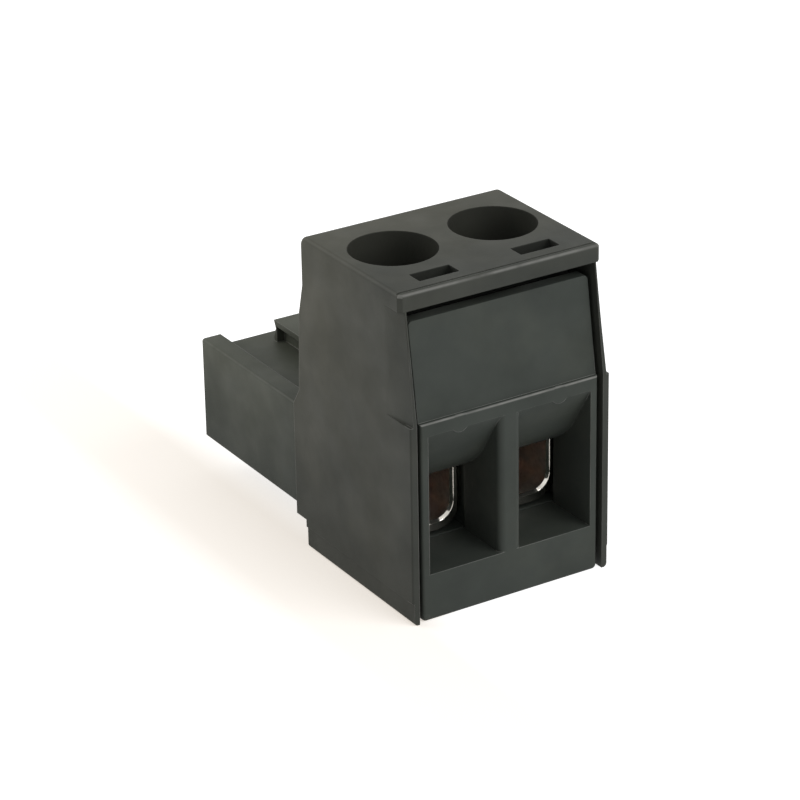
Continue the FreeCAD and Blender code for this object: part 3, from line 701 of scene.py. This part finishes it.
class PLUG_OT_contacts(bpy.types.Operator):
    """Dress the contacts in copper"""

    bl_idname = "plug.contacts"
    bl_label = "Contacts"

    def execute(self, context):
        finish = context.scene.plug_finish
        copper = metal("Contact Copper", finish.copper_colour, finish.tin_colour,
                       roughness=0.5, dents=0.003 * MM, edge=0.03 * MM)
        for side in SIDES:
            dressed(f"contact_{side}", copper)
        return {"FINISHED"}


def softbox(name, place, size, power, colour=(1, 1, 1)):
    """A square area light that faces the plug."""
    data = bpy.data.lights.new(name, "AREA")
    data.shape = "SQUARE"
    data.size = size
    data.energy = power
    data.color = colour
    light = bpy.data.objects.new(name, data)
    bpy.context.scene.collection.objects.link(light)
    light.location = place
    light.rotation_euler = (Vector(LIT_POINT) - Vector(place)).to_track_quat("-Z", "Y").to_euler()


def seen_rays(tree):
    """1 for what the camera sees, in reflections and through clear pieces too, and 0 for other rays."""
    rays = add(tree, "ShaderNodeLightPath").outputs
    seen = math_node(tree, "MAXIMUM", rays["Is Camera Ray"], rays["Is Glossy Ray"])
    return math_node(tree, "MAXIMUM", seen, rays["Is Transmission Ray"])


def table_material():
    """White table: lit like the object, and topped up where it is seen by a painted glow, warm where it is
    dim beside the plug's left side and white elsewhere.
    """
    material, tree, shader = new_material("White Table")
    shader.inputs["Roughness"].default_value = 0.9
    shader.inputs["Specular IOR Level"].default_value = 0.0
    seen = seen_rays(tree)
    tree.links.new(mixed(tree, seen, TABLE_LIT, TABLE_SEEN), shader.inputs["Base Color"])
    # painted light: the seen table glows brightest to the right of the plug and well to the left of it, and
    # dimmer beside its left side, where its shadow falls
    across = parts_of(tree, object_place(tree))["X"]
    bright = math_node(tree, "MAXIMUM", spread(tree, across, *RIGHT_GLOW), spread(tree, across, *LEFT_GLOW))
    topped = spread(tree, bright, 0, 1, *TABLE_GLOW)
    tree.links.new(math_node(tree, "MULTIPLY", seen, topped), shader.inputs["Emission Strength"])
    tree.links.new(mixed(tree, bright, TABLE_SHADE, TABLE_WHITE), shader.inputs["Emission Color"])
    return material


def light_world(ambient):
    """White surroundings for the camera and for reflections, and a softer light from all round."""
    world = bpy.data.worlds.new("White Studio")
    bpy.context.scene.world = world
    world.use_nodes = True
    tree = world.node_tree
    backdrop = tree.nodes["Background"]
    backdrop.inputs["Color"].default_value = (1, 1, 1, 1)
    tree.links.new(spread(tree, seen_rays(tree), 0, 1, ambient, 1.0), backdrop.inputs["Strength"])


def place_camera(view):
    """The camera on its sphere about the target, rolled about its line of sight."""
    data = bpy.data.cameras.new("Camera")
    data.sensor_width = SENSOR_WIDTH
    data.lens = view.lens
    data.clip_start = 0.005
    data.clip_end = 20
    camera = bpy.data.objects.new("Camera", data)
    bpy.context.scene.collection.objects.link(camera)
    right = Vector((math.cos(view.azimuth), math.sin(view.azimuth), 0))
    back = Vector((math.sin(view.azimuth) * math.cos(view.elevation),
                   -math.cos(view.azimuth) * math.cos(view.elevation),
                   math.sin(view.elevation)))
    up = back.cross(right)
    across = right * math.cos(view.roll) + up * math.sin(view.roll)
    upward = up * math.cos(view.roll) - right * math.sin(view.roll)
    turn = Matrix((across, upward, back)).transposed().to_4x4()
    camera.matrix_world = Matrix.Translation(Vector(view.target) + back * view.distance) @ turn
    bpy.context.scene.camera = camera


class PLUG_OT_studio(bpy.types.Operator):
    """Set up the white table, the lights, the surroundings and the camera"""

    bl_idname = "plug.studio"
    bl_label = "Studio"

    def execute(self, context):
        scene = context.scene
        studio = scene.plug_studio
        bpy.ops.object.select_all(action="DESELECT")
        bpy.ops.mesh.primitive_grid_add(x_subdivisions=2, y_subdivisions=2, size=TABLE_SIZE)
        table = context.object
        table.name = "table"
        table.data.materials.append(table_material())
        softbox("Key", KEY_PLACE, KEY_SIZE, studio.key_power)
        softbox("Fill", FILL_PLACE, FILL_SIZE, studio.fill_power, FILL_COLOUR)
        light_world(studio.ambient)
        place_camera(scene.plug_camera)
        scene.view_settings.view_transform = "Standard"
        return {"FINISHED"}


class PLUG_PT_panel(bpy.types.Panel):
    """Lists the steps that dress the terminal block"""

    bl_idname = "PLUG_PT_panel"
    bl_label = "Terminal Block"
    bl_space_type = "VIEW_3D"
    bl_region_type = "UI"
    bl_category = "Terminal Block"

    def draw(self, context):
        layout = self.layout
        scene = context.scene
        for group in (scene.plug_finish, scene.plug_thread, scene.plug_camera, scene.plug_studio):
            box = layout.box()
            for name in group.__annotations__:
                box.prop(group, name)
        for step in STEPS:
            layout.operator(step.bl_idname)


GROUPS = (PlugFinish, PlugThread, PlugCamera, PlugStudio)
STEPS = (PLUG_OT_housing, PLUG_OT_sleeves, PLUG_OT_screws, PLUG_OT_contacts, PLUG_OT_studio)
CLASSES = (*GROUPS, *STEPS, PLUG_PT_panel)


def register():
    for made in CLASSES:
        bpy.utils.register_class(made)
    bpy.types.Scene.plug_finish = PointerProperty(type=PlugFinish)
    bpy.types.Scene.plug_thread = PointerProperty(type=PlugThread)
    bpy.types.Scene.plug_camera = PointerProperty(type=PlugCamera)
    bpy.types.Scene.plug_studio = PointerProperty(type=PlugStudio)


def unregister():
    del bpy.types.Scene.plug_studio
    del bpy.types.Scene.plug_camera
    del bpy.types.Scene.plug_thread
    del bpy.types.Scene.plug_finish
    for made in reversed(CLASSES):
        bpy.utils.unregister_class(made)


def main():
    register()
    bpy.ops.plug.housing()
    bpy.ops.plug.sleeves()
    bpy.ops.plug.screws()
    bpy.ops.plug.contacts()
    bpy.ops.plug.studio()


if __name__ == "__main__":
    main()
